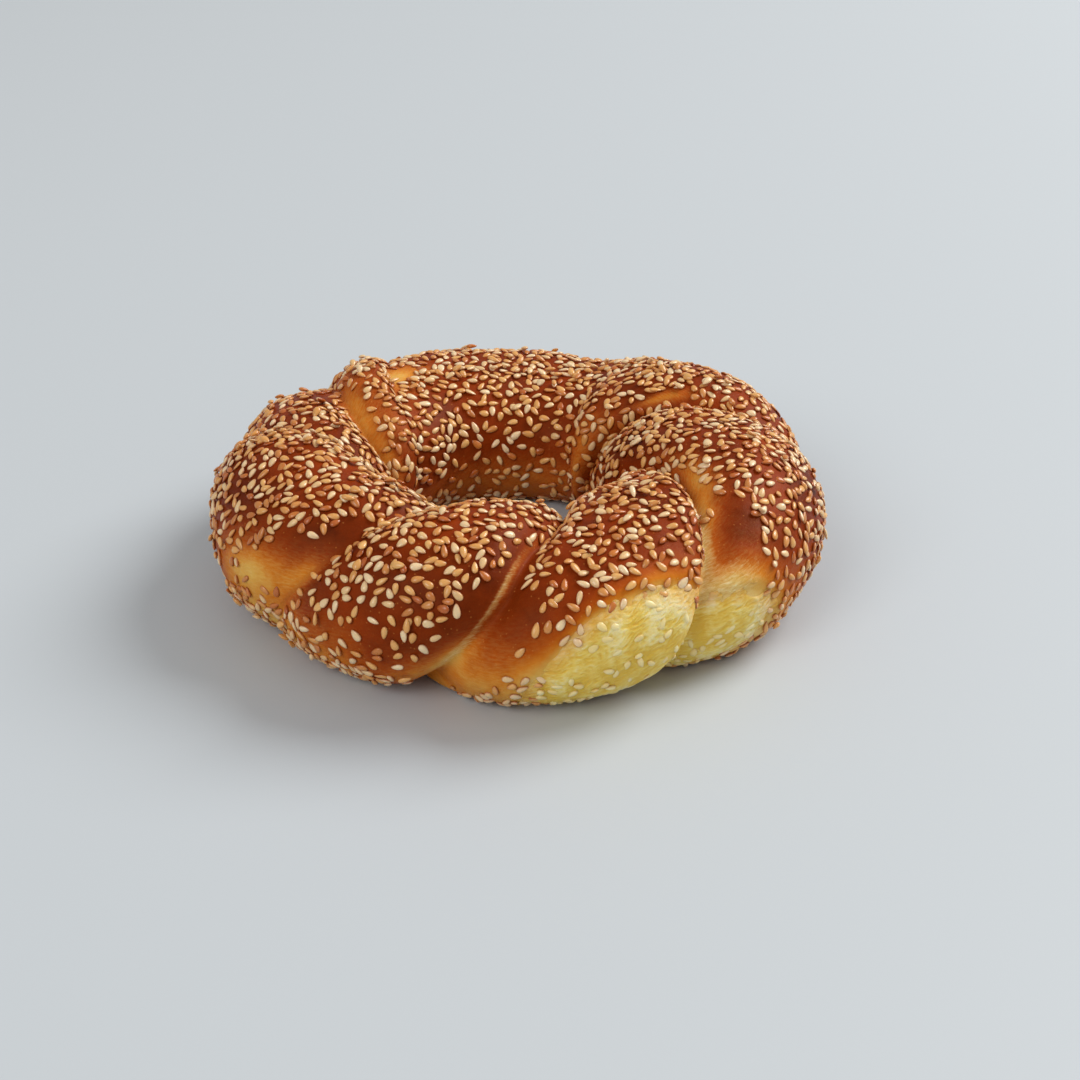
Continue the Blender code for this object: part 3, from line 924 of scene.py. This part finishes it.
# Colours of the crust: by its bake level, where it is stretched, in its frayed clefts, in its dots
CRUST_RAMP = (
    (0.00, srgb(236, 208, 138)),
    (0.15, srgb(224, 172, 80)),
    (0.32, srgb(208, 122, 32)),
    (0.52, srgb(176, 80, 15)),
    (0.75, srgb(140, 50, 7)),
    (1.00, srgb(88, 27, 3)),
)
STRETCHED_COLOUR = srgb(232, 196, 112)
FRAYED_RAMP = (
    (0.30, srgb(206, 156, 76)),
    (0.50, srgb(226, 190, 116)),
    (0.70, srgb(240, 220, 164)),
)
FRAYED_EDGE = ((0.34, grey(0)), (0.98, grey(1)))
DOT_COLOUR = srgb(214, 138, 66)
DOT_EDGE = ((0.06, grey(1)), (0.16, grey(0)))
STREAK_STRETCH = (0.45, 1.8, 1.0)  # the streaks are drawn out along the fibres

# Colours of the crumb, from yellow to cream, and at its browned edge; the yellow end also darkens its
# hollows as painted shade
CRUMB_RAMP = (
    (0.05, srgb(230, 190, 72)),
    (0.30, srgb(238, 208, 104)),
    (0.55, srgb(243, 224, 152)),
    (0.90, srgb(247, 236, 196)),
)
CRUMB_EDGE_COLOUR = srgb(222, 156, 62)
CRUMB_EDGE = ((0.48, grey(1)), (0.74, grey(0)))
THREAD_STRETCH = (0.55, 1.5, 1.0)

# Finishes of the seeds, one for each kind: two tones, and the darker colour of their lower part, partly
# baked glaze and partly painted shade where they sit on the crust
SeedFinish = namedtuple("SeedFinish", "pale dark rim rim_share roughness")
SEED_FINISHES = (
    SeedFinish(srgb(245, 228, 168), srgb(238, 210, 134), srgb(208, 162, 70), 0.60, 0.28),
    SeedFinish(srgb(238, 212, 170), srgb(224, 182, 124), srgb(168, 80, 24), 0.85, 0.27),
    SeedFinish(srgb(230, 178, 108), srgb(212, 148, 76), srgb(164, 76, 20), 0.85, 0.28),
    SeedFinish(srgb(214, 148, 78), srgb(190, 114, 50), srgb(150, 64, 16), 0.85, 0.30),
    SeedFinish(srgb(204, 122, 50), srgb(174, 86, 28), srgb(136, 52, 12), 0.80, 0.28),
)


def crust_material():
    shader = Shader("crust")
    place = shader.position()
    stretch = shader.attribute("stretch")
    fibre = shader.attribute("fibre", "Vector")
    mottle = shader.noise(place, scale=230, detail=4.0, roughness=0.62)
    broad = shader.noise(place, scale=70)
    level = shader.swayed(shader.attribute("bake"), mottle, amount=0.24)
    level = shader.swayed(level, broad, amount=0.20)
    colour = shader.ramp(level, CRUST_RAMP)

    drawn = shader.stretched(fibre, STREAK_STRETCH)
    streak = shader.noise(drawn, scale=1.1, detail=4.0, roughness=0.62, distortion=0.6)
    pale = shader.times(shader.scaled(streak, gain=2.4, base=-0.95), stretch)
    colour = shader.mix(shader.times(pale, share=0.60), colour, STRETCHED_COLOUR)

    wisp = shader.noise(fibre, scale=0.55, detail=4.0, roughness=0.55, distortion=0.3)
    frayed = shader.times(shader.attribute("frayed"), share=0.86)
    frayed = shader.scaled(wisp, gain=0.36, base=frayed)
    frayed = shader.swayed(frayed, streak, amount=0.30)
    frayed = shader.ramp(frayed, FRAYED_EDGE)
    colour = shader.mix(frayed, colour, shader.ramp(streak, FRAYED_RAMP))

    dot = shader.ramp(shader.cells(place, scale=620), DOT_EDGE)
    colour = shader.mix(shader.times(dot, share=0.35), colour, DOT_COLOUR)

    wrinkle = shader.noise(place, scale=900, detail=5.0, roughness=0.68)
    torn_skin = shader.times(streak, stretch)
    normal = shader.bump(wrinkle, distance=0.20 * MM, strength=0.7)
    normal = shader.bump(dot, distance=0.10 * MM, strength=0.4, normal=normal)
    normal = shader.bump(torn_skin, distance=0.35 * MM, strength=0.6, normal=normal)
    return shader.finish(
        Base_Color=colour,
        Roughness=shader.scaled(shader.noise(place, scale=420), gain=0.24, base=0.34),
        Normal=normal,
        Specular_IOR_Level=0.10,
        Specular_Tint=(1.0, 0.72, 0.46, 1.0),
        Subsurface_Weight=0.10,
        Subsurface_Radius=(1.0, 0.4, 0.15),
        Subsurface_Scale=2.0 * MM,
    )


def crumb_material():
    shader = Shader("crumb")
    drawn = shader.stretched(shader.attribute("fibre", "Vector"), THREAD_STRETCH)
    threads = shader.noise(drawn, scale=1.1, detail=4.0, roughness=0.62, distortion=0.5)
    opened = shader.attribute("open")
    # higher fibres and threads are paler: the crumb's own cream and yellow, with painted shade
    # darkening the hollows
    share = shader.scaled(shader.attribute("fluff"), gain=0.66, base=-0.24)
    share = shader.scaled(threads, gain=0.80, base=share)
    share = shader.scaled(opened, gain=-0.42, base=share)
    share = shader.scaled(shader.attribute("cream"), gain=0.20, base=share)
    colour = shader.ramp(share, CRUMB_RAMP)
    edge = shader.ramp(shader.scaled(threads, gain=0.16, base=opened), CRUMB_EDGE)
    colour = shader.mix(shader.times(edge, share=0.9), colour, CRUMB_EDGE_COLOUR)

    grain = shader.noise(shader.position(), scale=1800, detail=3.0, roughness=0.7)
    normal = shader.bump(threads, distance=0.5 * MM, strength=0.45)
    normal = shader.bump(grain, distance=0.2 * MM, strength=0.4, normal=normal)
    return shader.finish(
        Base_Color=colour,
        Roughness=0.48,
        Normal=normal,
        Specular_IOR_Level=0.3,
        Subsurface_Weight=0.45,
        Subsurface_Radius=(1.0, 0.8, 0.45),
        Subsurface_Scale=2.5 * MM,
    )


def seed_material(name, finish):
    shader = Shader(name)
    place = shader.position()
    share = shader.scaled(shader.attribute("tone"), gain=0.9, base=-0.2)
    share = shader.scaled(shader.noise(place, scale=700), gain=0.5, base=share)
    colour = shader.mix(share, finish.pale, finish.dark)
    # darker lower part: baked glaze and painted shade under the seed
    colour = shader.mix(shader.times(shader.attribute("rim"), finish.rim_share), colour, finish.rim)
    return shader.finish(
        Base_Color=colour,
        Roughness=finish.roughness,
        Normal=shader.bump(shader.noise(place, scale=2500), distance=0.05 * MM, strength=0.4),
        Specular_IOR_Level=0.6,
        Subsurface_Weight=0.15,
        Subsurface_Radius=(1.0, 0.6, 0.3),
        Subsurface_Scale=0.8 * MM,
    )


# The stage and its light, in metres and watts
FLOOR_SIZE = 4.0
FLOOR_COLOUR = srgb(191, 198, 204)
FLOOR_ROUGHNESS = 0.55
SKY_COLOUR = (1.0, 0.98, 0.95, 1.0)
SKY_STRENGTH = 0.40
Lamp = namedtuple("Lamp", "name place size power colour")
LAMPS = (
    Lamp("window", (1.6, 0.9, 1.6), 1.5, 54.0, (1.0, 0.985, 0.96)),
    Lamp("fill", (-1.0, -1.4, 1.4), 1.3, 18.0, (1.0, 0.98, 0.95)),
)
LAMP_TARGET = (0, 0, 0.02)

# The photograph's camera
PICTURE_WIDTH = 1080           # pixels
FOCAL_LENGTH = 1990            # pixels
SENSOR_WIDTH = 36              # millimetres
NEAR_LIMIT = 0.01
CAMERA_PITCH = 29.574          # degrees
CAMERA_ROLL = 1.148
CAMERA_PLACE = (0.0062, -0.4470, 0.2623)  # seen from the ring's own centre


def make_stage():
    bpy.ops.mesh.primitive_plane_add(size=FLOOR_SIZE)
    floor = bpy.context.object
    floor.name = "floor"
    shader = Shader("floor")
    floor.data.materials.append(shader.finish(Base_Color=FLOOR_COLOUR, Roughness=FLOOR_ROUGHNESS))


def add_lamp(lamp):
    light = bpy.data.lights.new(lamp.name, "AREA")
    light.shape = "DISK"
    light.size = lamp.size
    light.energy = lamp.power
    light.color = lamp.colour
    holder = bpy.data.objects.new(lamp.name, light)
    bpy.context.scene.collection.objects.link(holder)
    holder.location = lamp.place
    holder.rotation_mode = "QUATERNION"
    holder.rotation_quaternion = (Vector(LAMP_TARGET) - Vector(lamp.place)).to_track_quat("-Z", "Y")


def make_light():
    world = bpy.data.worlds.new("studio")
    bpy.context.scene.world = world
    world.use_nodes = True
    background = world.node_tree.nodes["Background"]
    background.inputs["Color"].default_value = SKY_COLOUR
    background.inputs["Strength"].default_value = SKY_STRENGTH
    for lamp in LAMPS:
        add_lamp(lamp)


def make_camera():
    """The photograph's view: its focal length, height, tilt and slight roll."""
    pitch = math.radians(CAMERA_PITCH)
    roll = math.radians(CAMERA_ROLL)
    data = bpy.data.cameras.new("camera")
    data.sensor_width = SENSOR_WIDTH
    data.lens = SENSOR_WIDTH * FOCAL_LENGTH / PICTURE_WIDTH
    data.clip_start = NEAR_LIMIT
    camera = bpy.data.objects.new("camera", data)
    bpy.context.scene.collection.objects.link(camera)
    back = Vector((0, -math.cos(pitch), math.sin(pitch)))
    right = Vector((1, 0, 0))
    up = back.cross(right)
    rolled_right = math.cos(roll) * right + math.sin(roll) * up
    rolled_up = math.cos(roll) * up - math.sin(roll) * right
    camera.matrix_world = Matrix((
        (rolled_right.x, rolled_up.x, back.x, CAMERA_PLACE[0] - CENTRE[0]),
        (rolled_right.y, rolled_up.y, back.y, CAMERA_PLACE[1] - CENTRE[1]),
        (rolled_right.z, rolled_up.z, back.z, CAMERA_PLACE[2]),
        (0, 0, 0, 1),
    ))
    bpy.context.scene.camera = camera


bread = make_bread()
crumb = make_crumb()
seeds = make_seeds()
bread.data.materials.append(crust_material())
crumb.data.materials.append(crumb_material())
for piece, finish in zip(seeds, SEED_FINISHES):
    piece.data.materials.append(seed_material(piece.name, finish))
for piece in (bread, crumb, *seeds):
    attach(piece, "root")
    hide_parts("simit")
make_stage()
make_light()
make_camera()
bpy.context.scene.view_settings.view_transform = "Standard"
